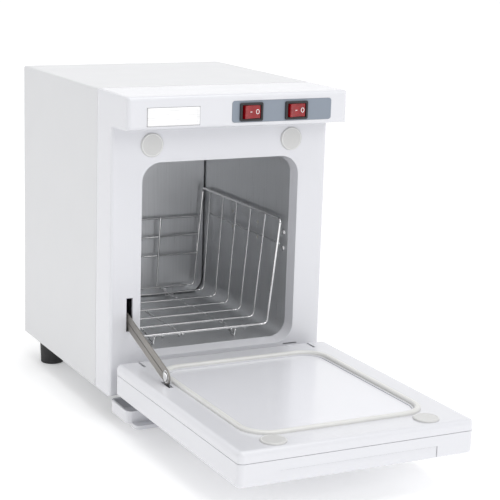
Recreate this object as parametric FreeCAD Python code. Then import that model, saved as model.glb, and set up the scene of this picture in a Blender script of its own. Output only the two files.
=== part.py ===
"""Small hot towel cabinet with a drop-down door, a wire towel basket and a drip tray.

Millimetres, +Z up, -Y towards the user, X symmetric. The frame's origin is under the middle
of the whole object with the door open, on the surface that it stands on. The design below is
laid out in a cabinet frame, whose y = 0 is the front face that the door closes against and
whose z = 0 is the underside of the casing; put() moves each piece into the part's frame.
"""
import FreeCAD, Part
import math
import os

V = FreeCAD.Vector
X_AXIS, Y_AXIS, Z_AXIS = V(1, 0, 0), V(0, 1, 0), V(0, 0, 1)
os.makedirs("parts", exist_ok=True)

# ---- casing ----
WIDTH, DEPTH, HEIGHT = 205.0, 225.0, 262.0
HALF_W = WIDTH / 2
FOOT_H = 25.5
HOOD_DEPTH, HOOD_H = 33.0, 28.0
HOOD_Z = HEIGHT - HOOD_H
MOULD = 2.5                       # wall of the plastic mouldings
SHEET = 1.0                       # casing sheet
SEAM_Y, SEAM_GAP = 33.0, 0.4      # joint between the front moulding and the sheet shell
EDGE_R, HOOD_R, TOP_R = 3.0, 4.0, 2.0

# ---- cavity ----
OPEN_HALF, OPEN_Z0, OPEN_Z1, OPEN_R = 74.7, 31.9, 201.9, 17.0
THROAT_HALF, THROAT_Z0, THROAT_Z1, THROAT_R = 72.4, 35.2, 200.4, 15.0
THROAT_Y = 10.5
LINER_T = 0.8
LINER_HALF, LINER_Z0, LINER_Z1, LINER_R = 73.0, 34.0, 203.0, 14.5
LINER_BACK_Y = 186.0
GUARD_T = 0.6                     # sheet of the lamp guard
BACK_GAP = 1.2                    # shadow gap round the cavity's back plate

# ---- door, as it lies open ----
DOOR_HALF = 101.7
DOOR_BACK_Y, DOOR_LEN = -11.0, 234.0
DOOR_FRONT_Y = DOOR_BACK_Y - DOOR_LEN
DOOR_FACE_Z, DOOR_T = 33.0, 27.5
DOOR_LOW_Z = DOOR_FACE_Z - DOOR_T
DOOR_SPLIT_Z, DOOR_SPLIT_GAP = 23.8, 0.4
DOOR_GAP = 3.0                    # between the door's face and the front face, closed
DOOR_SILL_Z = -2.0                # the door's lower end, closed
HINGE_Z = (DOOR_SILL_Z + DOOR_BACK_Y + DOOR_GAP + DOOR_FACE_Z) / 2
HINGE_Y = HINGE_Z - DOOR_FACE_Z - DOOR_GAP
GASKET_HALF, GASKET_Y0, GASKET_Y1, GASKET_R = 76.8, -40.5, -216.8, 21.0
GASKET_W, GASKET_PROUD, GROOVE_D = 5.2, 2.7, 1.5
MAGNET_X, MAGNET_Z = 66.3, 217.0
CAP_R, CAP_PROUD = 10.2, 1.3
HINGE_X, HINGE_PLATE, HINGE_SLOT = 82.0, 1.5, 2.4
PIN_R, PIN_CLEAR = 1.5, 0.05

# ---- door stay ----
ARM_X, ARM_T, ARM_W = -85.2, 1.2, 12.6
STAY_Y, STAY_Z = -80.5, 40.0      # pivot on the open door
ARM_SLOPE = 16.8                  # degrees above level, door open
ARM_LEN = 89.2                    # pivot to stop pin
SLOT_X0, SLOT_X1, SLOT_Z0, SLOT_Z1 = -87.6, -81.8, 56.5, 86.0

# ---- basket ----
BASKET_FLOOR_Z, BASKET_TOP_Z = 43.6, 141.5
BASKET_HALF = {-1: 66.0, 1: 61.0}  # the left side stands steeper than the right
BASKET_TOP_HALF = 69.0
WIRE, THIN_WIRE, RAIL_WIRE = 1.9, 1.5, 2.5
CROSS_Y0, CROSS_STEP, CROSS_N = 23.5, 26.9, 6
TOP_Y0, TOP_STEP = 18.5, 29.2     # the uprights fan out a little towards the top
BASKET_BEND = 4.0
BASKET_REAR_Y = 181.0

# ---- controls on the hood ----
PANEL_X0, PANEL_X1, PANEL_Z0, PANEL_Z1 = -8.6, 86.2, 237.8, 256.2
SWITCH_X, SWITCH_Z = (9.2, 52.0), 246.6
FRAME_W, FRAME_H = 21.5, 15.6
PLATE_X0, PLATE_X1, PLATE_Z0, PLATE_Z1 = -85.2, -38.0, 237.4, 252.6

# ---- drip tray and feet ----
TRAY_HALF, TRAY_Y0, TRAY_Y1 = 100.0, -34.5, 5.5
TRAY_Z0, TRAY_Z1, TRAY_T = -14.2, -3.2, 1.8
TONGUE_Y1, TONGUE_T = 62.0, 2.0   # the tongue behind the tray runs in the rails
RAIL_X, RUNNING = 50.0, 0.1
FOOT_R = 11.5
FRONT_FEET = [(-70.0, 20.0), (70.0, 20.0)]
REAR_FEET = [(-84.0, 196.0), (84.0, 196.0)]

# ---- fastenings ----
RIVET_Z, RIVET_YS = (114.0, 128.5), (20.0, 70.5, 122.5)
BRACKET_SCREW_YS = (12.0, 22.0)
RAIL_SCREW_X, RAIL_SCREW_YS = 41.0, (10.0, 26.0)
LINER_SCREWS = [(x, z) for x in (-76.6, 76.6) for z in (70.0, 170.0)]
GUARD_SCREWS = [(x, y) for x in (-22.0, 22.0) for y in (84.0, 166.0)]
BACK_SCREWS = [(x, z) for x in (-96.5, 96.5) for z in (20, 131, 236)] + [(-45, 257), (45, 257)]
GUIDE_SCREWS = [(-94.0, z) for z in (62.0, 88.0)]

REAR_FITTINGS = 3.0               # how far the inlet's screws stand out of the back
FRONT_Y = (DOOR_LEN - DOOR_BACK_Y - DEPTH - REAR_FITTINGS) / 2   # cabinet y = 0 in the part's frame


def put(name, *solids):
    """Writes one node from its separate solids, in the part's frame."""
    shape = solids[0] if len(solids) == 1 else Part.makeCompound(list(solids))
    shape = shape.copy()
    shape.translate(V(0, FRONT_Y, FOOT_H))
    assert shape.isValid(), name
    shape.exportStep("parts/%s.step" % name)


def box(x0, x1, y0, y1, z0, z1):
    """A block between two corners."""
    x0, x1 = sorted((x0, x1))
    y0, y1 = sorted((y0, y1))
    z0, z1 = sorted((z0, z1))
    return Part.makeBox(x1 - x0, y1 - y0, z1 - z0, V(x0, y0, z0))


def rod(r, a, b):
    """A round bar from point a to point b."""
    a, b = V(*a), V(*b)
    return Part.makeCylinder(r, (b - a).Length, a, b - a)


def fuse(first, *others):
    """One solid from pieces that meet."""
    return first.fuse(list(others)).removeSplitter()


def outline(half, lo, hi, r, at, plane):
    """A rounded rectangle, symmetric in X. plane xz lies at y = at, and xy at z = at."""
    def point(x, t):
        return V(x, at, t) if plane == "xz" else V(x, t, at)

    def corner(cx, ct, start):
        a, m, b = (math.radians(start + turn) for turn in (0, 45, 90))
        return Part.Arc(*[point(cx + r * math.cos(q), ct + r * math.sin(q)) for q in (a, m, b)]).toShape()

    lo, hi = min(lo, hi), max(lo, hi)
    x, t0, t1 = half - r, lo + r, hi - r
    return Part.Wire([
        corner(x, t1, 0), Part.makeLine(point(x, hi), point(-x, hi)),
        corner(-x, t1, 90), Part.makeLine(point(-half, t1), point(-half, t0)),
        corner(-x, t0, 180), Part.makeLine(point(-x, lo), point(x, lo)),
        corner(x, t0, 270), Part.makeLine(point(half, t0), point(half, t1))])


def slab_y(half, z0, z1, r, y0, y1):
    """A rounded block along Y."""
    return Part.Face(outline(half, z0, z1, r, y0, "xz")).extrude(V(0, y1 - y0, 0))


def slab_z(half, y0, y1, r, z0, z1):
    """A rounded block along Z."""
    return Part.Face(outline(half, y0, y1, r, z0, "xy")).extrude(V(0, 0, z1 - z0))


def shifted(shape, x=0.0, y=0.0, z=0.0):
    """A moved copy."""
    moved = shape.copy()
    moved.translate(V(x, y, z))
    return moved


def mirrored(shape):
    """The same piece on the other side of the cabinet."""
    return shape.mirror(V(0, 0, 0), X_AXIS)


def edges_at(shape, test):
    """The straight edges whose two ends both pass the test."""
    return [e for e in shape.Edges if len(e.Vertexes) == 2 and e.Curve.TypeId == "Part::GeomLine"
            and all(test(v.X, v.Y, v.Z) for v in e.Vertexes)]


def near(a, b, tol=0.01):
    """Are two lengths the same?"""
    return abs(a - b) < tol


def profile_x(points, x0, x1):
    """A plate in the YZ plane, from its corner points, between two x values."""
    wire = Part.makePolygon([V(x0, y, z) for y, z in points + points[:1]])
    return Part.Face(wire).extrude(V(x1 - x0, 0, 0))


def profile_z(points, z0, z1):
    """A plate in the XY plane, from its corner points, between two z values."""
    wire = Part.makePolygon([V(x, y, z0) for x, y in points + points[:1]])
    return Part.Face(wire).extrude(V(0, 0, z1 - z0))


def bent_wire(points, bend, dia):
    """Round wire through the points, bent to one radius at each corner."""
    pts = [V(*p) for p in points]
    edges, last = [], pts[0]
    for a, b, c in zip(pts, pts[1:], pts[2:]):
        into, out = (b - a).normalize(), (c - b).normalize()
        turn = into.getAngle(out)
        cut = bend * math.tan(turn / 2)
        start, end = b - into * cut, b + out * cut
        inward = (out - into).normalize()
        middle = b + inward * (bend / math.cos(turn / 2) - bend)
        edges += [Part.makeLine(last, start), Part.Arc(start, middle, end).toShape()]
        last = end
    edges.append(Part.makeLine(last, pts[-1]))
    path = Part.Wire(edges)
    ring = Part.Wire(Part.makeCircle(dia / 2, pts[0], (pts[1] - pts[0])))
    return path.makePipeShell([ring], True, False)


def screw(head_r, head_h, r, length, at, along):
    """A pan-head screw: the head stands out of the point 'at', the shank goes in."""
    at, along = V(*at), V(*along)
    head = Part.makeCylinder(head_r, head_h, at, along * -1)
    head = head.makeFillet(head_h * 0.6, [e for e in head.Edges if e.Closed
                                         and near((e.CenterOfMass - at).Length, head_h)])
    cross = [Part.makeBox(head_r * 1.1, 0.7, head_h, V(-head_r * 0.55, -0.35, 0)),
             Part.makeBox(0.7, head_r * 1.1, head_h, V(-0.35, -head_r * 0.55, 0))]
    slot = cross[0].fuse(cross[1])
    slot.Placement = FreeCAD.Placement(at - along * head_h * 1.5, FreeCAD.Rotation(Z_AXIS, along))
    return head.cut(slot).fuse(Part.makeCylinder(r, length, at, along)).removeSplitter()


# ---------------------------------------------------------------- casing
def rounded_box(x0, x1, y0, y1, z0, z1, r, test):
    """A block whose edges that pass the test are rounded."""
    block = box(x0, x1, y0, y1, z0, z1)
    return block.makeFillet(r, edges_at(block, test))


def on_side(x):
    """Is x at the cabinet's side?"""
    return near(abs(x), HALF_W)


def front_bezel():
    """Front moulding: the frame round the door opening, with the hood above it."""
    frame = rounded_box(-HALF_W, HALF_W, 0, SEAM_Y, 0, HEIGHT - TOP_R, EDGE_R,
                        lambda x, y, z: on_side(x) and near(y, 0))
    hood = rounded_box(-HALF_W, HALF_W, -HOOD_DEPTH, SEAM_Y, HOOD_Z, HEIGHT, HOOD_R,
                       lambda x, y, z: near(y, -HOOD_DEPTH) and (near(z, HEIGHT) or on_side(x)))
    hood = hood.makeFillet(TOP_R, edges_at(hood, lambda x, y, z: on_side(x) and near(z, HEIGHT)))
    body = fuse(frame, hood)
    body = body.cut([
        box(MOULD - HALF_W, HALF_W - MOULD, MOULD, SEAM_Y + 20, MOULD, HEIGHT - MOULD),
        box(MOULD - HALF_W, HALF_W - MOULD, MOULD - HOOD_DEPTH, MOULD + 1, HOOD_Z + MOULD, HEIGHT - MOULD)])
    lap = SHEET + 0.2             # the tongue lies inside the shell
    tongue = box(lap - HALF_W, HALF_W - lap, SEAM_Y - 3, SEAM_Y + 8, MOULD, HEIGHT - lap)
    tongue = tongue.cut(box(lap + 2 - HALF_W, HALF_W - lap - 2, SEAM_Y - 4, SEAM_Y + 9, 0, HEIGHT - lap - 2))
    collar = slab_y(OPEN_HALF + 2, OPEN_Z0 - 2, OPEN_Z1 + 2, OPEN_R + 2, MOULD - 1, THROAT_Y)
    body = fuse(body, tongue, collar)
    throat = Part.makeLoft([outline(OPEN_HALF, OPEN_Z0, OPEN_Z1, OPEN_R, -0.01, "xz"),
                            outline(THROAT_HALF, THROAT_Z0, THROAT_Z1, THROAT_R, THROAT_Y + 0.01, "xz")],
                           True, True)
    cuts = [throat, box(SLOT_X0, SLOT_X1, -1, MOULD + 1, SLOT_Z0, SLOT_Z1),
            box(65.5, 79.5, -1, MOULD + 1, 29.5, 30.6),
            slab_panel(PANEL_X0, PANEL_X1, PANEL_Z0, PANEL_Z1, 2.5, -HOOD_DEPTH - 1, -HOOD_DEPTH + 1),
            slab_panel(PLATE_X0, PLATE_X1, PLATE_Z0, PLATE_Z1, 1.0, -HOOD_DEPTH - 1, -HOOD_DEPTH + 1)]
    for sign in (-1, 1):
        x = sign * HINGE_X
        cuts += [rod(1.5, (sign * 90, y, 1.0), (sign * 90, y, MOULD + 1)) for y in BRACKET_SCREW_YS]
        cuts.append(box(x - HINGE_SLOT / 2, x + HINGE_SLOT / 2, -1, MOULD + 1, HINGE_Z - 3.7, HINGE_Z + 4.1))
    cuts += [switch_hole(x) for x in SWITCH_X]
    cuts += [rod(1.25, (x, 0.9, z), (x, MOULD + 1, z)) for x, z in GUIDE_SCREWS]
    cuts += [rod(1.5, (s * RAIL_SCREW_X, y, -1), (s * RAIL_SCREW_X, y, 1.8))
             for s in (-1, 1) for y in RAIL_SCREW_YS]
    cuts += [rod(2.2, (x, y, -1), (x, y, MOULD + 1)) for x, y in FRONT_FEET]
    bosses = [rod(3.3, (x, MOULD - 0.5, z), (x, THROAT_Y, z)) for x, z in LINER_SCREWS]
    cuts += [rod(1.5, (x, 4.5, z), (x, THROAT_Y + 1, z)) for x, z in LINER_SCREWS]
    return fuse(body, *bosses).cut(cuts)


def slab_panel(x0, x1, z0, z1, r, y0, y1):
    """A rounded block along Y that isn't centred."""
    return shifted(slab_y((x1 - x0) / 2, z0, z1, r, y0, y1), x=(x0 + x1) / 2)


def switch_hole(x):
    """The hole that a switch snaps into."""
    return box(x - 9.7, x + 9.7, -HOOD_DEPTH - 2, 1 - HOOD_DEPTH + MOULD, SWITCH_Z - 6.6, SWITCH_Z + 6.6)


def outer_shell():
    """Sheet-metal wrap: top, sides, a lower flange on each side and a rear flange."""
    y0, y1 = SEAM_Y + SEAM_GAP, DEPTH - SHEET
    test = lambda x, y, z: on_side(x) and near(z, HEIGHT)
    outside = rounded_box(-HALF_W, HALF_W, y0, y1, 0, HEIGHT, TOP_R, test)
    inner = HALF_W - SHEET
    inside = box(-inner, inner, y0 - 1, y1 - SHEET, SHEET, HEIGHT - SHEET)
    shell = outside.cut(inside)
    cuts = [box(-92.5, 92.5, y0 - 1, y1 + 1, -1, SHEET + 1),
            box(-92.5, 92.5, y1 - 2 * SHEET, y1 + 1, -1, HEIGHT - 10),
            box(-HALF_W - 1, HALF_W + 1, y0 - 1, y0 + 0.9, -1, 6)]
    return shell.cut(cuts + [rod(1.5, (x, y1 - 3, z), (x, y1 + 1, z)) for x, z in BACK_SCREWS])


def vent_slots(x0, columns, z0, rows, y):
    """Ventilation slots through a rear sheet."""
    slots = []
    for i in range(columns):
        for j in range(rows):
            x, z = x0 + 9 * i, z0 + 30 * j
            slots.append(slab_panel(x, x + 3, z, z + 22, 1.45, y - 1, y + 2))
    return slots


INLET_X, INLET_Z = -58.0, 40.0
FUSE_X, FUSE_Z = -20.0, 40.0


def back_panel():
    """Rear sheet with ventilation slots and the holes for the inlet, the fuse and its screws."""
    y0 = DEPTH - SHEET
    panel = box(0.8 - HALF_W, HALF_W - 0.8, y0, DEPTH, 0.8, HEIGHT - 0.8)
    cuts = [rod(1.6, (x, y0 - 1, z), (x, DEPTH + 1, z)) for x, z in BACK_SCREWS]
    cuts += vent_slots(-64.5, 15, 175, 2, y0) + vent_slots(20, 6, 18, 2, y0)
    cuts += [box(INLET_X - 14, INLET_X + 14, y0 - 1, DEPTH + 1, INLET_Z - 10.2, INLET_Z + 10.2),
             rod(6.3, (FUSE_X, y0 - 1, FUSE_Z), (FUSE_X, DEPTH + 1, FUSE_Z))]
    cuts += [rod(1.6, (INLET_X + dx, y0 - 1, INLET_Z), (INLET_X + dx, DEPTH + 1, INLET_Z)) for dx in (-20, 20)]
    return panel.cut(cuts)


def base_panel():
    """Bottom sheet, on the shell's lower flanges, with holes for the rear feet."""
    inner = HALF_W - SHEET - 0.1
    panel = box(-inner, inner, SEAM_Y + 9, DEPTH - 2 * SHEET - 0.1, SHEET, 2 * SHEET)
    holes = [rod(2.2, (x, y, 0), (x, y, 3)) for x, y in REAR_FEET]
    slots = [slab_z(40, y, y + 3, 1.45, 0, 3) for y in range(90, 171, 10)]
    return panel.cut(holes + slots)


put("front_bezel", front_bezel())
put("outer_shell", outer_shell())
put("back_panel", back_panel())
put("base_panel", base_panel())
put("back_screws", *[screw(3.0, 1.5, 1.5, 6, (x, DEPTH, z), (0, -1, 0)) for x, z in BACK_SCREWS])


# ---------------------------------------------------------------- cavity
def ring_y(half, z0, z1, r, t, y0, y1):
    """A rounded tube along Y, of wall t, outside the outline given."""
    return slab_y(half + t, z0 - t, z1 + t, r + t, y0, y1).cut(slab_y(half, z0, z1, r, y0 - 1, y1 + 1))


def inner_liner():
    """Sheet wrap of the cavity, with a front flange and three pairs of holes in each side."""
    wrap = ring_y(LINER_HALF, LINER_Z0, LINER_Z1, LINER_R, LINER_T, THROAT_Y, 195)
    flange = ring_y(LINER_HALF, LINER_Z0, LINER_Z1, LINER_R, 6.0, THROAT_Y, THROAT_Y + LINER_T)
    holes = [rod(1.6, (side * 70, y, z), (side * 76, y, z))
             for side in (-1, 1) for y in RIVET_YS for z in RIVET_Z]
    holes += [rod(1.5, (x, y, LINER_Z1 - 2), (x, y, LINER_Z1 + 2)) for x, y in GUARD_SCREWS]
    holes += [rod(1.5, (x, THROAT_Y - 1, z), (x, THROAT_Y + 2, z)) for x, z in LINER_SCREWS]
    return fuse(wrap, flange).cut(holes)


def liner_back():
    """Back plate of the cavity: a shallow pan set inside the wrap, with a shadow gap round it."""
    half, z0, z1, r = LINER_HALF - BACK_GAP, LINER_Z0 + BACK_GAP, LINER_Z1 - BACK_GAP, LINER_R - BACK_GAP
    pan = slab_y(half, z0, z1, r, LINER_BACK_Y, LINER_BACK_Y + 7)
    pan = pan.cut(slab_y(half - LINER_T, z0 + LINER_T, z1 - LINER_T, r - LINER_T,
                         LINER_BACK_Y + LINER_T, LINER_BACK_Y + 8))
    lip = slab_y(LINER_HALF, LINER_Z0, LINER_Z1, LINER_R, LINER_BACK_Y + 6.2, LINER_BACK_Y + 7)
    lip = lip.cut(slab_y(half - 1, z0 + 1, z1 - 1, r - 1, LINER_BACK_Y, LINER_BACK_Y + 9))
    return fuse(pan, lip)


def rivet(side, y, z):
    """A pop rivet in the liner's side, its domed head inside."""
    wall = side * LINER_HALF
    head = rod(3.0, (wall, y, z), (wall - side * 1.2, y, z))
    head = head.makeFillet(0.9, [e for e in head.Edges
                                 if e.Closed and near(e.CenterOfMass.x, wall - side * 1.2)])
    return fuse(head, rod(1.6, (wall, y, z), (wall + side * 3, y, z)),
                rod(2.6, (wall + side * LINER_T, y, z), (wall + side * 2, y, z)))


def insulation():
    """Foam wrap over the liner's top and sides."""
    y0, y1, x0, x1 = 14, 182, LINER_HALF + LINER_T + 0.2, 78.8
    top = LINER_Z1 + LINER_T + 0.2
    block = box(-x1, x1, y0, y1, 50, top + 9).cut(box(-x0, x0, y0 - 1, y1 + 1, 0, top))
    holes = [rod(4, (s * 70, y, z), (s * 78, y, z)) for s in (-1, 1) for y in RIVET_YS[:1] for z in RIVET_Z]
    holes += [rod(3, (x, y, top - 1), (x, y, top + 4)) for x, y in GUARD_SCREWS]
    return block.cut(holes)


put("inner_liner", inner_liner())
put("liner_back", liner_back())
put("liner_rivets", *[rivet(s, RIVET_YS[0], z) for s in (-1, 1) for z in RIVET_Z])
put("insulation_wrap", insulation())
put("liner_screws", *[screw(2.6, 1.4, 1.5, 4, (x, THROAT_Y + LINER_T, z), (0, -1, 0)) for x, z in LINER_SCREWS],
    *[screw(2.6, 1.4, 1.5, 4, (x, y, LINER_Z1 - GUARD_T), (0, 0, 1)) for x, y in GUARD_SCREWS])


# ---------------------------------------------------------------- heating and UV
HEATER_Z = LINER_Z0 - LINER_T
SHELF_Z = 216.0
LAMP_Z, LAMP_R = 196.5, 4.5
LAMP_Y0, LAMP_Y1 = 72.0, 178.0    # the guard's ends


def heater_clamp():
    """Sheet bridge that holds the heater up against the liner, with a hole for the thermostat."""
    low = HEATER_Z - 5
    bridge = fuse(box(-61, 61, 84, 106, low, low + SHEET),
                  *[box(s * 60, s * 61, 84, 106, 2 * SHEET, low + SHEET) for s in (-1, 1)],
                  *[box(s * 60, s * 68, 84, 106, 2 * SHEET, 3 * SHEET) for s in (-1, 1)])
    return bridge.cut(rod(8.6, (0, 95, low - 1), (0, 95, low + 2)))


def thermostat():
    """Snap-action thermostat under the heater, with its two tabs."""
    top = HEATER_Z - 4
    can = fuse(rod(8.0, (0, 95, top - 1), (0, 95, top)), rod(7.0, (0, 95, top - 7), (0, 95, top - 0.5)))
    tabs = [box(dx - 2.5, dx + 2.5, 94.6, 95.4, top - 14, top - 7) for dx in (-4, 4)]
    return fuse(can, *tabs)


def uv_guard():
    """Slotted sheet channel over the lamp, screwed to the cavity's ceiling."""
    t, y0, y1, low, half = GUARD_T, LAMP_Y0, LAMP_Y1, LAMP_Z - 6.5, 15
    hat = fuse(box(-half, half, y0, y1, low, LINER_Z1), box(-27, 27, y0, y1, LINER_Z1 - t, LINER_Z1))
    hat = hat.cut(box(t - half, half - t, y0 - 1, y1 + 1, low + t, LINER_Z1 + 1))
    slots = [slab_z(10, y, y + 4, 1.9, low - 1, low + t + 1) for y in range(80, 170, 9)]
    holes = [rod(1.5, (x, y, LINER_Z1 - 2), (x, y, LINER_Z1 + 1)) for x, y in GUARD_SCREWS]
    return hat.cut(slots + holes)


def component_shelf():
    """Sheet shelf over the cavity that carries the ballast and the terminals."""
    inner = HALF_W - SHEET
    shelf = box(-inner, inner, 46, 196, SHELF_Z, SHELF_Z + SHEET)
    lips = [box(s * inner, s * (inner - SHEET), 46, 196, SHELF_Z, SHELF_Z + 12) for s in (-1, 1)]
    return fuse(shelf, *lips)


def uv_ballast():
    """Moulded ballast block with two mounting tabs."""
    z = SHELF_Z + SHEET
    block = rounded_box(22, 78, 105, 143, z, z + 24, 3.0, lambda x, y, z_: True)
    tabs = fuse(box(12, 88, 114, 134, z, z + 2.0), block)
    return tabs.cut([rod(2.2, (x, 124, z - 1), (x, 124, z + 3)) for x in (17, 83)])


def terminal_block():
    """Six-pole terminal strip."""
    z = SHELF_Z + SHEET
    strip = fuse(box(-68, -8, 112, 130, z, z + 8), box(-68, -8, 116, 126, z, z + 14))
    wells = [rod(2.0, (-63 + 10 * i, 121, z + 6), (-63 + 10 * i, 121, z + 15)) for i in range(6)]
    entries = [rod(1.8, (-63 + 10 * i, 111, z + 4), (-63 + 10 * i, 131, z + 4)) for i in range(6)]
    return strip.cut(wells + entries)


put("heater_plate", slab_z(60, 25, 165, 6, HEATER_Z - 4, HEATER_Z))
put("heater_clamp", heater_clamp())
put("thermostat", thermostat())
put("thermal_fuse", fuse(rod(2.2, (24, 114, HEATER_Z - 6.2), (44, 114, HEATER_Z - 6.2)),
                         box(30, 38, 111, 117, HEATER_Z - 7, HEATER_Z - 4)))
put("uv_lamp_tube", rod(LAMP_R, (0, LAMP_Y0 + 17, LAMP_Z), (0, LAMP_Y1 - 17, LAMP_Z)))
put("uv_lamp_caps", *[rod(LAMP_R + 0.2, (0, y, LAMP_Z), (0, y + 6, LAMP_Z))
                      for y in (LAMP_Y0 + 11, LAMP_Y1 - 17)])
put("uv_lamp_sockets", *[box(-7, 7, y, y + 7, LAMP_Z - 5.5, LINER_Z1) for y in (LAMP_Y0 + 4, LAMP_Y1 - 11)])
put("uv_lamp_guard", uv_guard())
put("component_shelf", component_shelf())
put("uv_ballast", uv_ballast())
put("terminal_block", terminal_block())


# ---------------------------------------------------------------- controls
ROCKER_TILT = 9.0
ROCKER_Y = -HOOD_DEPTH + 2.5      # the rockers' pivots
PANEL_FACE = -HOOD_DEPTH - 0.2
FRAME_FACE = -HOOD_DEPTH - 2.0


def control_panel():
    """Flat panel set into the hood, with the two switch holes."""
    m = 0.15
    plate = slab_panel(PANEL_X0 + m, PANEL_X1 - m, PANEL_Z0 + m, PANEL_Z1 - m, 2.4, PANEL_FACE, -HOOD_DEPTH + 1)
    return plate.cut([switch_hole(x) for x in SWITCH_X])


def name_plate():
    """Blank plate with a raised bevelled border."""
    m = 0.15
    x0, x1, z0, z1 = PLATE_X0 + m, PLATE_X1 - m, PLATE_Z0 + m, PLATE_Z1 - m
    plate = slab_panel(x0, x1, z0, z1, 1.0, -HOOD_DEPTH - 0.9, -HOOD_DEPTH + 1)
    plate = plate.makeChamfer(0.6, [e for e in plate.Edges
                                    if all(near(v.Y, -HOOD_DEPTH - 0.9) for v in e.Vertexes)])
    return plate.cut(slab_panel(x0 + 2, x1 - 2, z0 + 2, z1 - 2, 0.6, -HOOD_DEPTH - 2, -HOOD_DEPTH - 0.5))


def switch_frame(x):
    """Snap-in body of a rocker switch, with the frame round its rocker."""
    frame = slab_panel(x - FRAME_W / 2, x + FRAME_W / 2, SWITCH_Z - FRAME_H / 2, SWITCH_Z + FRAME_H / 2,
                       1.4, FRAME_FACE, PANEL_FACE)
    frame = frame.makeFillet(0.6, [e for e in frame.Edges if all(near(v.Y, FRAME_FACE) for v in e.Vertexes)])
    body = fuse(frame, box(x - 9.5, x + 9.5, PANEL_FACE, -14, SWITCH_Z - 6.5, SWITCH_Z + 6.5))
    well = box(x - 8.8, x + 8.8, FRAME_FACE - 1, -24, SWITCH_Z - 5.9, SWITCH_Z + 5.9)
    pivot = rod(1.05, (x, ROCKER_Y, SWITCH_Z - 7), (x, ROCKER_Y, SWITCH_Z + 7))
    return body.cut([well, pivot])


def rocker(x):
    """A rocker, pressed on its right, with its two trunnions."""
    key = profile_z([(-7.8, -5.3), (-3.6, -4.3), (0, -4.0), (3.6, -4.3), (7.8, -5.3), (7.8, -1.0),
                     (4.0, 3.0), (-4.0, 3.0), (-7.8, -1.0)], -5.5, 5.5)
    key = key.makeFillet(0.7, edges_at(key, lambda a, b, c: near(b, -5.3)))
    key = fuse(key, rod(1.0, (0, 0, -6.35), (0, 0, 6.35)))
    key.rotate(V(0, 0, 0), Z_AXIS, ROCKER_TILT)
    return shifted(key, x, ROCKER_Y, SWITCH_Z)


put("control_panel", control_panel())
put("name_plate", name_plate())
put("switch_bodies", *[switch_frame(x) for x in SWITCH_X])
put("power_rocker", rocker(SWITCH_X[1]))
put("uv_rocker", rocker(SWITCH_X[0]))
put("switch_terminals", *[box(x + dx - 0.4, x + dx + 0.4, -14, -7, SWITCH_Z - 2.4, SWITCH_Z + 2.4)
                          for x in SWITCH_X for dx in (-5, 0, 5)])


# ---------------------------------------------------------------- rear inlet
def power_inlet():
    """Three-pin appliance inlet."""
    shell = fuse(box(INLET_X - 24, INLET_X + 24, DEPTH, DEPTH + 1.8, INLET_Z - 11.5, INLET_Z + 11.5),
                 box(INLET_X - 13.8, INLET_X + 13.8, DEPTH - 20, DEPTH, INLET_Z - 10, INLET_Z + 10))
    corners = [V(INLET_X + a, DEPTH - 16, INLET_Z + b) for a, b in
               ((-12, -8), (12, -8), (12, 4), (8, 8), (-8, 8), (-12, 4), (-12, -8))]
    well = Part.Face(Part.makePolygon(corners)).extrude(V(0, 20, 0))
    holes = [rod(1.6, (INLET_X + dx, DEPTH - 1, INLET_Z), (INLET_X + dx, DEPTH + 3, INLET_Z))
             for dx in (-20, 20)]
    return shell.cut([well] + holes)


def inlet_pins():
    """The inlet's three blades."""
    return [box(INLET_X + dx - 1, INLET_X + dx + 1, DEPTH - 16, DEPTH - 4, INLET_Z + dz - 2, INLET_Z + dz + 2)
            for dx, dz in ((-7, -2), (0, 2), (7, -2))]


def fuse_holder():
    """Round panel fuse holder with a slotted cap."""
    body = fuse(rod(6.2, (FUSE_X, DEPTH - 26, FUSE_Z), (FUSE_X, DEPTH, FUSE_Z)),
                rod(8.0, (FUSE_X, DEPTH, FUSE_Z), (FUSE_X, DEPTH + 1.8, FUSE_Z)))
    return body.cut(box(FUSE_X - 5, FUSE_X + 5, DEPTH + 0.8, DEPTH + 3, FUSE_Z - 0.7, FUSE_Z + 0.7))


put("power_inlet", power_inlet())
put("inlet_pins", *inlet_pins())
put("inlet_screws", *[screw(2.6, REAR_FITTINGS - 1.8, 1.5, 7, (INLET_X + dx, DEPTH + 1.8, INLET_Z), (0, -1, 0))
                      for dx in (-20, 20)])
put("fuse_holder", fuse_holder())


# ---------------------------------------------------------------- hinges and catch magnets
def hinge_bracket(side):
    """Body half of a hinge: a plate through the front moulding with a screwed foot."""
    x0, x1 = HINGE_X - HINGE_PLATE / 2, HINGE_X + HINGE_PLATE / 2
    low, high = HINGE_Z - 3.1, HINGE_Z + 3.5
    plate = fuse(box(x0, x1, HINGE_Y, 8, low, high), box(x0, x1, 4, 28, 4, high),
                 rod(3.1, (x0, HINGE_Y, HINGE_Z), (x1, HINGE_Y, HINGE_Z)),
                 box(x0, 96, 6, 28, MOULD, MOULD + 1.5))
    plate = plate.cut([rod(PIN_R + PIN_CLEAR, (x0 - 1, HINGE_Y, HINGE_Z), (x1 + 1, HINGE_Y, HINGE_Z))]
                      + [rod(1.6, (90, y, 2), (90, y, 5)) for y in BRACKET_SCREW_YS])
    return plate if side > 0 else mirrored(plate)


def cap(x, y, z, along):
    """A round catch cap on a face, its rim rounded."""
    top = (x + along[0] * CAP_PROUD, y + along[1] * CAP_PROUD, z + along[2] * CAP_PROUD)
    disc = rod(CAP_R, (x, y, z), top)
    return disc.makeFillet(0.7, [e for e in disc.Edges
                                 if e.Closed and near((e.CenterOfMass - V(*top)).Length, 0)])


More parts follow.
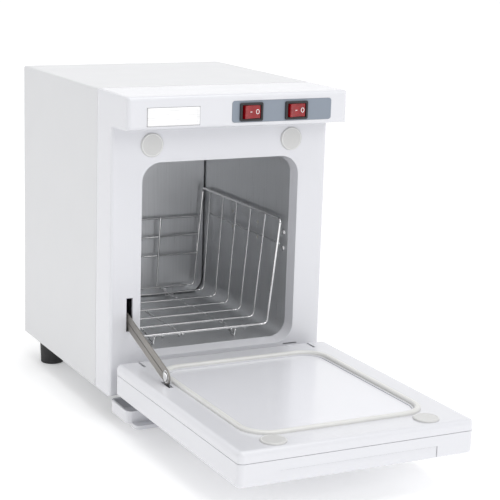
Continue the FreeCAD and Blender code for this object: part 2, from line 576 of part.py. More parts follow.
MAGNET_DOOR_Y = HINGE_Y + HINGE_Z - MAGNET_Z
put("hinge_brackets", hinge_bracket(1), hinge_bracket(-1))
put("moulding_screws", *[screw(2.6, 1.3, 1.5, 3, (s * 90, y, MOULD + 1.5), (0, 0, -1))
                         for s in (-1, 1) for y in BRACKET_SCREW_YS],
    *[screw(2.6, 1.3, 1.5, 3, (s * RAIL_SCREW_X, y, -1.2), (0, 0, 1)) for s in (-1, 1) for y in RAIL_SCREW_YS])
put("catch_caps", *[cap(s * MAGNET_X, 0, MAGNET_Z, (0, -1, 0)) for s in (-1, 1)])
put("catch_magnets", *[rod(8.0, (s * MAGNET_X, MOULD, MAGNET_Z), (s * MAGNET_X, MOULD + 3, MAGNET_Z))
                       for s in (-1, 1)])


# ---------------------------------------------------------------- door stay
def stay_guide():
    """Sheet channel that keeps the stay's tail beside the cavity."""
    x0, x1, t = -89.4, -80.0, 0.8
    z0, z1 = SLOT_Z0 - 2.5, 95.0
    walls = fuse(box(x0, x0 + t, MOULD, 112, z0, z1), box(x1 - t, x1, MOULD, 112, z0, z1),
                 box(x0, x1, MOULD, 112, z1, z1 + t), box(x0 - 8, x0, MOULD, MOULD + t, z0, z1))
    return walls.cut([rod(1.3, (x, 0, z), (x, 5, z)) for x, z in GUIDE_SCREWS])


def along_arm(distance):
    """A point on the stay's centre line, door open."""
    a = math.radians(ARM_SLOPE)
    return STAY_Y + distance * math.cos(a), STAY_Z + distance * math.sin(a)


def stay_arm():
    """Flat strap with round ends, from the door's pivot to the stop pin."""
    x0, x1 = ARM_X - ARM_T / 2, ARM_X + ARM_T / 2
    strap = fuse(box(x0, x1, 0, ARM_LEN, -ARM_W / 2, ARM_W / 2),
                 rod(ARM_W / 2, (x0, 0, 0), (x1, 0, 0)), rod(ARM_W / 2, (x0, ARM_LEN, 0), (x1, ARM_LEN, 0)))
    strap = strap.cut([rod(PIN_R + PIN_CLEAR, (x0 - 1, 0, 0), (x1 + 1, 0, 0)),
                       rod(1.5, (x0 - 1, ARM_LEN, 0), (x1 + 1, ARM_LEN, 0))])
    strap.rotate(V(0, 0, 0), X_AXIS, ARM_SLOPE)
    return shifted(strap, y=STAY_Y, z=STAY_Z)


def stop_pin():
    """Rivet through the strap's tail, too long for the slot."""
    y, z = along_arm(ARM_LEN)
    x0, x1 = ARM_X - ARM_T / 2, ARM_X + ARM_T / 2
    return fuse(rod(1.5, (x0, y, z), (x1, y, z)), rod(2.0, (-88.2, y, z), (x0, y, z)),
                rod(2.0, (x1, y, z), (-81.2, y, z)))


EAR_X0, EAR_X1 = -84.3, -83.3


def stay_bracket():
    """Door half of the stay: an ear through the door's inner face, on a screwed foot."""
    floor = DOOR_LOW_Z + MOULD
    ear = fuse(box(EAR_X0, EAR_X1, STAY_Y - 7, STAY_Y + 7, floor, DOOR_FACE_Z - 0.5),
               box(EAR_X0, EAR_X1, STAY_Y - 4.5, STAY_Y + 4.5, STAY_Z - 9, STAY_Z),
               rod(4.5, (EAR_X0, STAY_Y, STAY_Z), (EAR_X1, STAY_Y, STAY_Z)),
               box(-97, EAR_X1, STAY_Y - 9, STAY_Y + 9, floor, floor + 1))
    return ear.cut([rod(PIN_R, (EAR_X0 - 1, STAY_Y, STAY_Z), (EAR_X1 + 1, STAY_Y, STAY_Z))]
                   + [rod(1.3, (-92, STAY_Y + dy, 5), (-92, STAY_Y + dy, 10)) for dy in (-5, 5)])


def pivot_pin():
    """Headed pin through the strap and the ear, with a washer pressed on its end."""
    at = lambda x: (x, STAY_Y, STAY_Z)
    return fuse(rod(PIN_R, at(-86.1), at(-82.4)), rod(3.6, at(-86.8), at(-86.1)),
                rod(2.8, at(-83.1), at(-82.4)))


put("stay_guide", stay_guide())
put("guide_screws", *[screw(2.4, 1.2, 1.25, 2.3, (x, MOULD + 0.8, z), (0, -1, 0)) for x, z in GUIDE_SCREWS])
put("stay_arm", stay_arm())
put("stay_stop_pin", stop_pin())
put("stay_bracket", stay_bracket())
put("stay_pivot_pin", pivot_pin())


# ---------------------------------------------------------------- door
GRIP_HALF, GRIP_TOP_Z, GRIP_DEEP = 68.0, 15.5, 0.7
POCKET_HALF, POCKET_TOP_Z = 60.0, 15.0
WINDOW_HALF, WINDOW_INSET = GASKET_HALF - 4.4, 4.4
PAN_Z = DOOR_FACE_Z - 1.8         # the seat of the glossy panel
POSTS = [(x, y) for x in (-58, 58) for y in (-60, -130, -200)]
FOOT_SCREWS = [(-92, STAY_Y + dy) for dy in (-5, 5)]


def door_shell():
    """Outer moulding of the door, with the grip in its free edge and the finger pocket behind it."""
    low, inner = DOOR_LOW_Z, DOOR_LOW_Z + MOULD
    shell = slab_z(DOOR_HALF, DOOR_FRONT_Y, DOOR_BACK_Y, 5.0, low, DOOR_SPLIT_Z)
    shell = shell.makeFillet(2.6, [e for e in shell.Edges if all(near(v.Z, low) for v in e.Vertexes)])
    shell = shell.cut(slab_z(DOOR_HALF - MOULD, DOOR_FRONT_Y + MOULD, DOOR_BACK_Y - MOULD, 3.0,
                             inner, DOOR_SPLIT_Z + 1))
    pocket_wall = box(-GRIP_HALF - 2, GRIP_HALF + 2, DOOR_FRONT_Y + 1, DOOR_FRONT_Y + 18,
                      low + 0.5, POCKET_TOP_Z + 2.2)
    posts = [rod(4.0, (x, y, inner - 0.5), (x, y, PAN_Z - MOULD)) for x, y in POSTS]
    bosses = [box(s * (HINGE_X + a), s * (HINGE_X + b), HINGE_Y - 5, HINGE_Y + 5, inner - 0.5, HINGE_Z + 5)
              for s in (-1, 1) for a, b in ((-6.5, -1.4), (1.4, 6.5))]
    shell = fuse(shell, pocket_wall, *posts, *bosses)
    grip = box(-GRIP_HALF, GRIP_HALF, DOOR_FRONT_Y - 1, DOOR_FRONT_Y + GRIP_DEEP, low - 1, GRIP_TOP_Z)
    pocket = profile_x([(DOOR_FRONT_Y + 6, low - 1), (DOOR_FRONT_Y + 16, low - 1),
                        (DOOR_FRONT_Y + 13, POCKET_TOP_Z), (DOOR_FRONT_Y + 3, POCKET_TOP_Z)],
                       -POCKET_HALF, POCKET_HALF)
    cuts = [grip, pocket] + [rod(1.5, (x, y, 18), (x, y, PAN_Z)) for x, y in POSTS]
    for s in (-1, 1):
        x = s * HINGE_X
        cuts.append(box(x - HINGE_SLOT / 2, x + HINGE_SLOT / 2, DOOR_BACK_Y - 4, DOOR_BACK_Y + 1,
                        inner, DOOR_SPLIT_Z + 1))
        cuts.append(rod(PIN_R, (s * (HINGE_X - 6.2), HINGE_Y, HINGE_Z), (s * (HINGE_X + 6.2), HINGE_Y, HINGE_Z)))
    cuts += [rod(1.25, (x, y, low + 0.8), (x, y, inner + 1)) for x, y in FOOT_SCREWS]
    return shell.cut(cuts)


def door_frame():
    """Inner moulding of the door: rim, gasket groove and the pan under the glossy panel."""
    z0, z1 = DOOR_SPLIT_Z + DOOR_SPLIT_GAP, DOOR_FACE_Z
    frame = slab_z(DOOR_HALF, DOOR_FRONT_Y, DOOR_BACK_Y, 5.0, z0, z1)
    frame = frame.makeFillet(4.2, [e for e in frame.Edges if all(near(v.Z, z1) for v in e.Vertexes)])
    frame = frame.cut(slab_z(DOOR_HALF - MOULD, DOOR_FRONT_Y + MOULD, DOOR_BACK_Y - MOULD, 3.0,
                             z0 - 1, z1 - MOULD))
    lap = MOULD + 0.15
    tongue = slab_z(DOOR_HALF - lap, DOOR_FRONT_Y + lap, DOOR_BACK_Y - lap, 3.0, z0 - 3.2, z0 + 2)
    tongue = tongue.cut(slab_z(DOOR_HALF - lap - 1.5, DOOR_FRONT_Y + lap + 1.5, DOOR_BACK_Y - lap - 1.5, 2.0,
                               z0 - 4, z0 + 3))
    link = slab_z(DOOR_HALF - 1, DOOR_FRONT_Y + 1, DOOR_BACK_Y - 1, 4.0, z0, z0 + 2).cut(
        slab_z(DOOR_HALF - lap - 1.5, DOOR_FRONT_Y + lap + 1.5, DOOR_BACK_Y - lap - 1.5, 2.0, z0 - 1, z0 + 3))
    pan = slab_z(WINDOW_HALF + 2, GASKET_Y1 + WINDOW_INSET - 2, GASKET_Y0 - WINDOW_INSET + 2, 18.6,
                 PAN_Z - MOULD, z1 - 1)
    frame = fuse(frame, tongue, link, pan)
    half = GASKET_W / 2
    groove = slab_z(GASKET_HALF + half, GASKET_Y1 - half, GASKET_Y0 + half, GASKET_R + half,
                    z1 - GROOVE_D, z1 + 1).cut(
        slab_z(GASKET_HALF - half, GASKET_Y1 + half, GASKET_Y0 - half, GASKET_R - half, z1 - 3, z1 + 2))
    window = slab_z(WINDOW_HALF, GASKET_Y1 + WINDOW_INSET, GASKET_Y0 - WINDOW_INSET, 16.6, PAN_Z, z1 + 1)
    cuts = [groove, window, box(-86.6, -82.6, STAY_Y - 8.5, STAY_Y + 8.5, z0, z1 + 1)]
    for s in (-1, 1):
        x = s * HINGE_X
        cuts.append(box(x - HINGE_SLOT / 2, x + HINGE_SLOT / 2, HINGE_Y - 4.2, DOOR_BACK_Y + 1, z0 - 6, z1 + 1))
    for x, y in POSTS:
        cuts += [rod(1.6, (x, y, PAN_Z - 4), (x, y, PAN_Z + 1)), rod(3.2, (x, y, PAN_Z - 1.3), (x, y, PAN_Z + 1))]
    return frame.cut(cuts)


def door_gasket():
    """Raised rubber seal in the door's groove."""
    half, z1 = GASKET_W / 2, DOOR_FACE_Z + GASKET_PROUD
    seal = slab_z(GASKET_HALF + half, GASKET_Y1 - half, GASKET_Y0 + half, GASKET_R + half,
                  DOOR_FACE_Z - GROOVE_D, z1).cut(
        slab_z(GASKET_HALF - half, GASKET_Y1 + half, GASKET_Y0 - half, GASKET_R - half,
               DOOR_FACE_Z - 3, z1 + 1))
    return seal.makeFillet(1.9, [e for e in seal.Edges if all(near(v.Z, z1) for v in e.Vertexes)])


def door_insulation():
    """Foam board between the door's mouldings, with holes for the screw posts."""
    foam = box(-78, 78, -224, -36, DOOR_LOW_Z + MOULD + 0.3, PAN_Z - MOULD - 0.3)
    return foam.cut([rod(4.6, (x, y, 5), (x, y, 32)) for x, y in POSTS])


put("door_outer_shell", door_shell())
put("door_inner_frame", door_frame())
put("door_panel", slab_z(WINDOW_HALF - 0.2, GASKET_Y1 + WINDOW_INSET + 0.2, GASKET_Y0 - WINDOW_INSET - 0.2,
                         16.4, PAN_Z, PAN_Z + 1.2))
put("door_gasket", door_gasket())
put("door_insulation", door_insulation())
put("door_screws", *[screw(2.9, 1.2, 1.5, 8, (x, y, PAN_Z - 1.3), (0, 0, -1)) for x, y in POSTS])
put("bracket_foot_screws", *[screw(2.4, 1.2, 1.25, 2.4, (x, y, DOOR_LOW_Z + MOULD + 1), (0, 0, -1))
                             for x, y in FOOT_SCREWS])
put("door_catch_caps", *[cap(s * MAGNET_X, MAGNET_DOOR_Y, DOOR_FACE_Z, (0, 0, 1)) for s in (-1, 1)])
put("door_catch_plates", *[rod(8.0, (s * MAGNET_X, MAGNET_DOOR_Y, DOOR_FACE_Z - MOULD - 2),
                               (s * MAGNET_X, MAGNET_DOOR_Y, DOOR_FACE_Z - MOULD)) for s in (-1, 1)])
put("hinge_pins", *[rod(PIN_R, (s * (HINGE_X - 6), HINGE_Y, HINGE_Z), (s * (HINGE_X + 6), HINGE_Y, HINGE_Z))
                    for s in (-1, 1)])


# ---------------------------------------------------------------- towel basket
SPLIT_X = 53.0                    # where the floor wires meet the side wires
REAR_SPLIT_Z = 125.0
MID_Z = 119.0
FEET_X = (-51.0, 29.0)
FOOT_WIRE = 2.0
CROSS_YS = [CROSS_Y0 + CROSS_STEP * i for i in range(CROSS_N)]
TOP_YS = [TOP_Y0 + TOP_STEP * i for i in range(CROSS_N)]


def lean(side, z):
    """How far out a leaning side of the basket stands at a height."""
    share = (z - BASKET_FLOOR_Z) / (BASKET_TOP_Z - BASKET_FLOOR_Z)
    return BASKET_HALF[side] + share * (BASKET_TOP_HALF - BASKET_HALF[side])


def basket_side(side):
    """One side: six uprights, the top rail that bends down at both ends, and a thin middle rail."""
    zf, zt, foot, top_x = BASKET_FLOOR_Z, BASKET_TOP_Z, side * BASKET_HALF[side], side * BASKET_TOP_HALF
    loop = bent_wire([(side * SPLIT_X, CROSS_Y0, zf), (foot, CROSS_Y0, zf), (top_x, TOP_Y0, zt),
                      (top_x, BASKET_REAR_Y, zt), (side * lean(side, REAR_SPLIT_Z), BASKET_REAR_Y, REAR_SPLIT_Z)],
                     BASKET_BEND, RAIL_WIRE)
    ribs = [bent_wire([(side * SPLIT_X, y, zf), (foot, y, zf), (top_x, top, zt)], BASKET_BEND, WIRE)
            for y, top in zip(CROSS_YS[1:], TOP_YS[1:])]
    x = side * (lean(side, MID_Z) + (WIRE + THIN_WIRE) / 2 - 0.3)
    middle = rod(THIN_WIRE / 2, (x, TOP_Y0 - 1, MID_Z), (x, TOP_YS[-1], MID_Z))
    return fuse(loop, *ribs, middle)


def v_foot(x, y_end, y_far):
    """A V of wire under the floor, from an end wire to the next cross wire; it stands on the floor."""
    way = math.copysign(1, y_far - y_end)
    high, low = BASKET_FLOOR_Z - 1.8, LINER_Z0 + FOOT_WIRE / 2 + 0.05
    return bent_wire([(x, y_end, high), (x, y_end + 2 * way, low), (x, y_end + 5.5 * way, low), (x, y_far, high)],
                     1.0, FOOT_WIRE)


def basket_floor():
    """Floor wires, the two runners under them, four feet and the stubs under the front wire."""
    zf = BASKET_FLOOR_Z
    front = rod(RAIL_WIRE / 2, (-SPLIT_X, CROSS_Y0, zf), (SPLIT_X, CROSS_Y0, zf))
    wires = [rod(WIRE / 2, (-SPLIT_X, y, zf), (SPLIT_X, y, zf)) for y in CROSS_YS[1:] + [BASKET_REAR_Y]]
    low = zf - WIRE + 0.3
    runners = [rod(WIRE / 2, (x, CROSS_Y0 - 2.5, low), (x, BASKET_REAR_Y + 0.6, low)) for x in (-24, 24)]
    feet = [v_foot(x, CROSS_YS[0], CROSS_YS[1]) for x in FEET_X]
    feet += [v_foot(x, BASKET_REAR_Y, CROSS_YS[-1]) for x in FEET_X]
    stubs = [rod(1.0, (x, CROSS_Y0, zf - 3.4), (x, CROSS_Y0, zf)) for x in (-43, -27, 38.5)]
    return fuse(front, *wires, *runners, *feet, *stubs)


def basket_rear():
    """Rear panel: a U of wire with three bars and two uprights."""
    y, zf = BASKET_REAR_Y, BASKET_FLOOR_Z
    halves = [bent_wire([(s * SPLIT_X, y, zf), (s * BASKET_HALF[s], y, zf),
                         (s * lean(s, REAR_SPLIT_Z), y, REAR_SPLIT_Z)], BASKET_BEND, WIRE) for s in (-1, 1)]
    bars = [rod(WIRE / 2 - 0.1, (-lean(-1, z), y, z), (lean(1, z), y, z)) for z in (76.0, 95.0, 113.5)]
    behind = y - WIRE + 0.3
    posts = [rod(WIRE / 2, (s * 19.5, behind, zf + 1.3), (s * 22.5, behind, 114.8)) for s in (-1, 1)]
    return fuse(halves[0], halves[1], *bars, *posts)


put("basket_floor", basket_floor())
put("basket_side_right", basket_side(1))
put("basket_side_left", basket_side(-1))
put("basket_rear", basket_rear())


# ---------------------------------------------------------------- drip tray and feet
def drip_tray():
    """Shallow tray under the front with a finger lip, and behind it a tongue that runs in the rails."""
    tray = slab_z(TRAY_HALF, TRAY_Y0, TRAY_Y1, 6.0, TRAY_Z0, TRAY_Z1)
    tray = tray.makeFillet(1.5, [e for e in tray.Edges if all(near(v.Z, TRAY_Z0) for v in e.Vertexes)])
    hollow = slab_z(TRAY_HALF - TRAY_T, TRAY_Y0 + TRAY_T, TRAY_Y1 - TRAY_T, 4.2, TRAY_Z0 + TRAY_T, TRAY_Z1 + 1)
    lip = slab_z(96, TRAY_Y0 - 10, TRAY_Y0 + 4, 4.5, TRAY_Z0 - 2.2, TRAY_Z0 + 1.2)
    half = RAIL_X - RUNNING
    tongue = box(-half, half, TRAY_Y1 - 2, TONGUE_Y1, TRAY_Z0, TRAY_Z0 + TONGUE_T)
    tongue = tongue.cut(slab_z(half - 12, TRAY_Y1 + 8, TONGUE_Y1 - 10, 4.0,
                               TRAY_Z0 - 1, TRAY_Z0 + TONGUE_T + 1))
    return fuse(tray.cut(hollow), lip, tongue)


def tray_rail(side):
    """C-section rail under the front moulding, with a flange for its screws."""
    low, high, y0, y1 = TRAY_Z0 - RUNNING, TRAY_Z0 + TONGUE_T + RUNNING, TRAY_Y1 + 1, 58
    out = RAIL_X + 1.2
    rail = fuse(box(RAIL_X, out, y0, y1, low - 1.2, 0), box(45.5, out, y0, y1, low - 1.2, low),
                box(45.5, out, y0, y1, high, high + 1.2), box(36, out, y0, 32, -1.2, 0))
    rail = rail.cut([rod(1.6, (RAIL_SCREW_X, y, -3), (RAIL_SCREW_X, y, 1)) for y in RAIL_SCREW_YS])
    return rail if side > 0 else mirrored(rail)


def foot(x, y, seat):
    """Tapered rubber foot up to its seat, with a deep hole for its screw."""
    cone = Part.makeCone(FOOT_R - 0.5, FOOT_R + 0.5, FOOT_H, V(x, y, -FOOT_H), Z_AXIS)
    if seat > 0:
        cone = fuse(cone, rod(7.0, (x, y, -1), (x, y, seat)))
    return cone.cut([rod(4.5, (x, y, -FOOT_H - 1), (x, y, -6)), rod(2.1, (x, y, -8), (x, y, 3))])


def hex_nut(x, y, seat):
    """M4 nut on a sheet."""
    corners = [(x + 4.04 * math.cos(math.radians(60 * i)), y + 4.04 * math.sin(math.radians(60 * i)))
               for i in range(6)]
    return profile_z(corners, seat, seat + 3.2).cut(rod(2.0, (x, y, 0), (x, y, 9)))


put("drip_tray", drip_tray())
put("tray_rails", tray_rail(1), tray_rail(-1))
put("rubber_feet", *[foot(x, y, 0) for x, y in FRONT_FEET], *[foot(x, y, SHEET) for x, y in REAR_FEET])
put("foot_nuts", *[hex_nut(x, y, MOULD) for x, y in FRONT_FEET],
    *[hex_nut(x, y, 2 * SHEET) for x, y in REAR_FEET])
put("foot_screws", *[screw(3.6, 2.2, 2.0, 12, (x, y, -6), (0, 0, 1)) for x, y in FRONT_FEET + REAR_FEET])
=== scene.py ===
"""Visual model of a small hot towel cabinet: finishes, fine detail, floor, light and camera."""
import math

import bmesh
import bpy
from mathutils import Matrix, Vector


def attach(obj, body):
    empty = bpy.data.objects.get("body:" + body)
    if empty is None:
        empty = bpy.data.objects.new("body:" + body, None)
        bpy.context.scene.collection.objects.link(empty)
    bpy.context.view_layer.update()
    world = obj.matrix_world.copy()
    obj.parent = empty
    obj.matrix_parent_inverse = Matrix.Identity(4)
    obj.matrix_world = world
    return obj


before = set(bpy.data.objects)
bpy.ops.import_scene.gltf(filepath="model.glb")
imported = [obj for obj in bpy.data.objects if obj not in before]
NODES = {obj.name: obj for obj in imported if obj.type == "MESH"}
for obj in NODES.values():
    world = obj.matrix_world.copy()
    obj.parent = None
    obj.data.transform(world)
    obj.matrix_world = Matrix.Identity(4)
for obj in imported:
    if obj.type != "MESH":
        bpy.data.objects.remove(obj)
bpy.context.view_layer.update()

MM = 0.001
FRONT_Y, FOOT_H = 8.5, 25.5       # the cabinet's front face and underside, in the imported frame
RIGHT, FORWARD, UP = Vector((1, 0, 0)), Vector((0, -1, 0)), Vector((0, 0, 1))


def at(x, y, z):
    """A point in mm from the cabinet's front face and underside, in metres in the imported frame."""
    return Vector((x * MM, (y + FRONT_Y) * MM, (z + FOOT_H) * MM))


# ---------------------------------------------------------------- materials
NOISE_LOW, NOISE_HIGH = 0.3, 0.7          # nearly all of a noise texture's values lie between these


class Nodes:
    """Short calls for building one material's node tree."""

    def __init__(self, name):
        self.mat = bpy.data.materials.new(name)
        self.mat.use_nodes = True
        self.tree = self.mat.node_tree
        self.shader = self.tree.nodes["Principled BSDF"]
        self.coord = self.add("ShaderNodeTexCoord").outputs["Object"]

    def add(self, kind, **values):
        """A node, with its properties or input sockets set by name."""
        node = self.tree.nodes.new(kind)
        for key, value in values.items():
            if hasattr(node, key):
                setattr(node, key, value)
            else:
                node.inputs[key.replace("_", " ")].default_value = value
        return node

    def link(self, a, b):
        self.tree.links.new(a, b)

    def stretched(self, scale):
        """The object's coordinates, scaled along each axis."""
        node = self.add("ShaderNodeMapping")
        node.inputs["Scale"].default_value = scale
        self.link(self.coord, node.inputs["Vector"])
        return node.outputs["Vector"]

    def noise(self, scale, detail=3.0, rough=0.5, vector=None):
        node = self.add("ShaderNodeTexNoise", Scale=scale, Detail=detail, Roughness=rough)
        self.link(vector or self.coord, node.inputs["Vector"])
        return node.outputs["Fac"]

    def ramp(self, fac, low, high):
        """A colour that goes from low to high as the noise does."""
        node = self.add("ShaderNodeValToRGB")
        stops = ((NOISE_LOW, low), (NOISE_HIGH, high))
        for element, (position, colour) in zip(node.color_ramp.elements, stops):
            element.position = position
            element.color = (*colour, 1.0)
        self.link(fac, node.inputs["Fac"])
        return node.outputs["Color"]

    def spread(self, fac, low, high):
        """A number that goes from low to high as the noise does."""
        node = self.add("ShaderNodeMapRange", From_Min=NOISE_LOW, From_Max=NOISE_HIGH,
                        To_Min=low, To_Max=high)
        self.link(fac, node.inputs["Value"])
        return node.outputs["Result"]

    def bump(self, height, strength, distance):
        """Relief, added to any that is there already."""
        node = self.add("ShaderNodeBump", Strength=strength, Distance=distance)
        self.link(height, node.inputs["Height"])
        if self.shader.inputs["Normal"].links:
            self.link(self.shader.inputs["Normal"].links[0].from_socket, node.inputs["Normal"])
        self.link(node.outputs["Normal"], self.shader.inputs["Normal"])

    def set(self, **values):
        """Constant values, set on the shader's own sockets."""
        for key, value in values.items():
            self.shader.inputs[key.replace("_", " ")].default_value = value

    def into(self, socket, output):
        self.link(output, self.shader.inputs[socket])


def tint(colour, amount):
    """A colour made lighter or darker by a share."""
    return tuple(max(0.0, min(1.0, c * (1 + amount))) for c in colour)


def mottled(nodes, fac, colour, vary):
    """The base colour, which drifts by a share either way."""
    nodes.into("Base Color", nodes.ramp(fac, tint(colour, -vary), tint(colour, vary)))


def plastic(name, colour, rough, coat=0.0, grain=0.0, vary=0.02, patch=9.0, coat_rough=0.06):
    """Moulded plastic: slow colour drift, patchy gloss, and orange peel or a fine mould grain."""
    nodes = Nodes(name)
    mottled(nodes, nodes.noise(patch, 3.0), colour, vary)
    nodes.into("Roughness", nodes.spread(nodes.noise(30.0, 3.0), rough * 0.92, rough * 1.1))
    nodes.set(Coat_Weight=coat, Coat_Roughness=coat_rough, IOR=1.5)
    nodes.bump(nodes.noise(90.0, 2.0), 0.012, 0.0004)
    if grain:
        nodes.bump(nodes.noise(2600.0, 2.0), grain, 0.00006)
    return nodes


def metal(name, colour, rough, streak=None, vary=0.06, bump=0.04, metallic=1.0):
    """Sheet or wire metal: drawn or brushed streaks in its colour, gloss and relief."""
    nodes = Nodes(name)
    if streak:
        fac = nodes.noise(1.0, 4.0, 0.65, nodes.stretched(streak))
    else:
        fac = nodes.noise(500.0, 4.0)
    mottled(nodes, fac, colour, vary)
    nodes.into("Roughness", nodes.spread(fac, rough * 0.8, rough * 1.25))
    nodes.set(Metallic=metallic)
    nodes.bump(fac, bump, 0.00008)
    return nodes


def speckled(name, colour, rough, scale, depth, vary=0.12):
    """Rubber, foam and powder coat: a fine irregular surface."""
    nodes = Nodes(name)
    fine = nodes.noise(scale, 5.0, 0.62)
    mottled(nodes, fine, colour, vary)
    gloss = nodes.noise(35.0, 4.0)
    nodes.into("Roughness", nodes.spread(gloss, rough * 0.92, min(1.0, rough * 1.08)))
    nodes.bump(fine, 0.25, depth)
    return nodes


moulding = plastic("white_moulding", (0.70, 0.705, 0.735), 0.24, coat=0.35, vary=0.008)
powder = speckled("white_powder_coat", (0.675, 0.68, 0.69), 0.42, 900.0, 0.00003, vary=0.008)
powder.set(Coat_Weight=0.15, Coat_Roughness=0.2)
liner = metal("liner_steel", (0.66, 0.67, 0.685), 0.33, (700.0, 700.0, 10.0), vary=0.05,
              metallic=0.75)
wire = metal("bright_wire", (0.80, 0.80, 0.80), 0.13, (260.0, 260.0, 260.0), vary=0.05, bump=0.03)
plate_steel = metal("zinc_sheet", (0.60, 0.61, 0.63), 0.34, (90.0, 700.0, 90.0), vary=0.10)
arm_steel = metal("stay_steel", (0.30, 0.285, 0.265), 0.48, (1500.0, 40.0, 60.0), vary=0.10,
                  metallic=0.55)
screw_steel = metal("screw_steel", (0.62, 0.62, 0.62), 0.28, vary=0.08)
alu = metal("plain_aluminium", (0.74, 0.74, 0.75), 0.34, (700.0, 60.0, 700.0))
brass = metal("brass", (0.75, 0.56, 0.27), 0.25, vary=0.07)
magnet = metal("dark_nickel", (0.30, 0.30, 0.31), 0.32)
panel_grey = plastic("panel_grey", (0.235, 0.27, 0.32), 0.34, grain=0.12, vary=0.03)
plate_silver = metal("plate_silver", (0.88, 0.88, 0.88), 0.30, (40.0, 40.0, 1400.0), vary=0.02,
                     metallic=0.15)
black = plastic("black_plastic", (0.018, 0.018, 0.020), 0.32, grain=0.10, vary=0.15)
red = plastic("red_rocker", (0.22, 0.001, 0.004), 0.20, coat=0.3, vary=0.25, patch=260.0)
# a faint painted red glow on the rockers
red.set(Emission_Color=(0.9, 0.02, 0.03, 1.0), Emission_Strength=0.04)
# a mid grey for thin painted shade lines, put where shade falls in grooves and round raised edges
painted_shade_line = plastic("painted_shade_line_grey", (0.24, 0.24, 0.25), 0.7, vary=0.1, patch=80.0)
cap_rim = plastic("catch_cap_rim", (0.84, 0.84, 0.83), 0.25, coat=0.4, patch=60.0)
mark = plastic("white_print", (0.85, 0.85, 0.84), 0.5, patch=300.0)
gasket = plastic("silicone_seal", (0.70, 0.70, 0.68), 0.38, grain=0.10, vary=0.03, patch=30.0)
gasket.set(Subsurface_Weight=0.25, Subsurface_Radius=(0.003, 0.003, 0.003), Subsurface_Scale=1.0)
door_gloss = plastic("door_gloss_panel", (0.78, 0.785, 0.82), 0.22, coat=0.45, vary=0.01,
                     coat_rough=0.10)
cap_white = plastic("catch_cap_white", (0.60, 0.60, 0.59), 0.34, coat=0.2, patch=60.0)
rubber = speckled("foot_rubber", (0.022, 0.022, 0.023), 0.62, 1500.0, 0.00008)
foam = speckled("foam", (0.78, 0.75, 0.66), 0.9, 700.0, 0.0006, vary=0.08)
grey_plastic = plastic("grey_plastic", (0.45, 0.46, 0.47), 0.42, grain=0.15)
glass = Nodes("lamp_glass")
glass.into("Roughness", glass.spread(glass.noise(90.0, 3.0), 0.02, 0.10))
glass.into("Base Color", glass.ramp(glass.noise(25.0), (0.86, 0.90, 0.95), (0.93, 0.96, 1.0)))
glass.set(Transmission_Weight=0.9, IOR=1.47)

FINISH = {
    moulding: "front_bezel door_outer_shell door_inner_frame drip_tray",
    powder: "outer_shell back_panel",
    liner: "inner_liner liner_back uv_lamp_guard",
    wire: "basket_floor basket_side_right basket_side_left basket_rear liner_rivets stay_stop_pin "
          "stay_pivot_pin",
    plate_steel: "base_panel heater_clamp component_shelf hinge_brackets stay_guide tray_rails "
                 "stay_bracket",
    arm_steel: "stay_arm",
    screw_steel: "back_screws liner_screws moulding_screws guide_screws foot_nuts foot_screws "
                 "door_screws bracket_foot_screws hinge_pins inlet_screws",
    alu: "heater_plate thermostat uv_lamp_caps",
    brass: "switch_terminals inlet_pins thermal_fuse",
    magnet: "catch_magnets door_catch_plates",
    panel_grey: "control_panel",
    plate_silver: "name_plate",
    black: "switch_bodies power_inlet fuse_holder uv_ballast uv_lamp_sockets",
    red: "power_rocker uv_rocker",
    gasket: "door_gasket",
    door_gloss: "door_panel",
    cap_white: "catch_caps door_catch_caps",
    rubber: "rubber_feet",
    foam: "insulation_wrap door_insulation",
    grey_plastic: "terminal_block",
    glass: "uv_lamp_tube",
}

# edge softening in mm; nodes that are left out get DEFAULT_BEVEL
DEFAULT_BEVEL = 0.15
BEVEL = {"front_bezel": 0.5, "door_outer_shell": 0.4, "door_inner_frame": 0.4, "drip_tray": 0.4,
         "control_panel": 0.2, "outer_shell": 0.3, "back_panel": 0.2, "inner_liner": 0.2,
         "rubber_feet": 0.8, "door_panel": 0.3, "basket_floor": 0, "basket_side_right": 0,
         "basket_side_left": 0, "basket_rear": 0, "uv_lamp_tube": 0}
BEVEL_FROM = math.radians(40)             # only edges sharper than this are rounded
WELD_DISTANCE = 1e-6


def soften(obj, width):
    """Joins the split edges, rounds the sharp ones a little and shades the rest smooth."""
    weld = obj.modifiers.new("weld", "WELD")
    weld.merge_threshold = WELD_DISTANCE
    if width:
        bevel = obj.modifiers.new("bevel", "BEVEL")
        bevel.width = width * MM
        bevel.segments = 2
        bevel.limit_method = "ANGLE"
        bevel.angle_limit = BEVEL_FROM
    smooth = obj.modifiers.new("normals", "WEIGHTED_NORMAL")
    smooth.keep_sharp = True


def dress(name, finish):
    """Gives a CAD node its finish and soft edges."""
    obj = NODES[name]
    obj.data.materials.clear()
    obj.data.materials.append(finish.mat)
    for poly in obj.data.polygons:
        poly.use_smooth = True
        poly.material_index = 0
    soften(obj, BEVEL.get(name, DEFAULT_BEVEL))


for finish, names in FINISH.items():
    for name in names.split():
        dress(name, finish)


# ---------------------------------------------------------------- small pieces
def mesh_object(name, bm, material, smooth):
    """A new object in the scene from a bmesh, which is freed."""
    mesh = bpy.data.meshes.new(name)
    bm.to_mesh(mesh)
    bm.free()
    for poly in mesh.polygons:
        poly.use_smooth = smooth
    mesh.materials.append(material.mat)
    obj = bpy.data.objects.new(name, mesh)
    bpy.context.scene.collection.objects.link(obj)
    return obj


def piece(name, body, material, bm, smooth=True):
    """A new mesh piece that rides on a body."""
    bmesh.ops.recalc_face_normals(bm, faces=bm.faces)
    obj = mesh_object(name, bm, material, smooth)
    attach(obj, body)


def join(bm, row, after):
    """Four faces between two rows of four corners."""
    for j in range(4):
        bm.faces.new((row[j], after[j], after[(j + 1) % 4], row[(j + 1) % 4]))


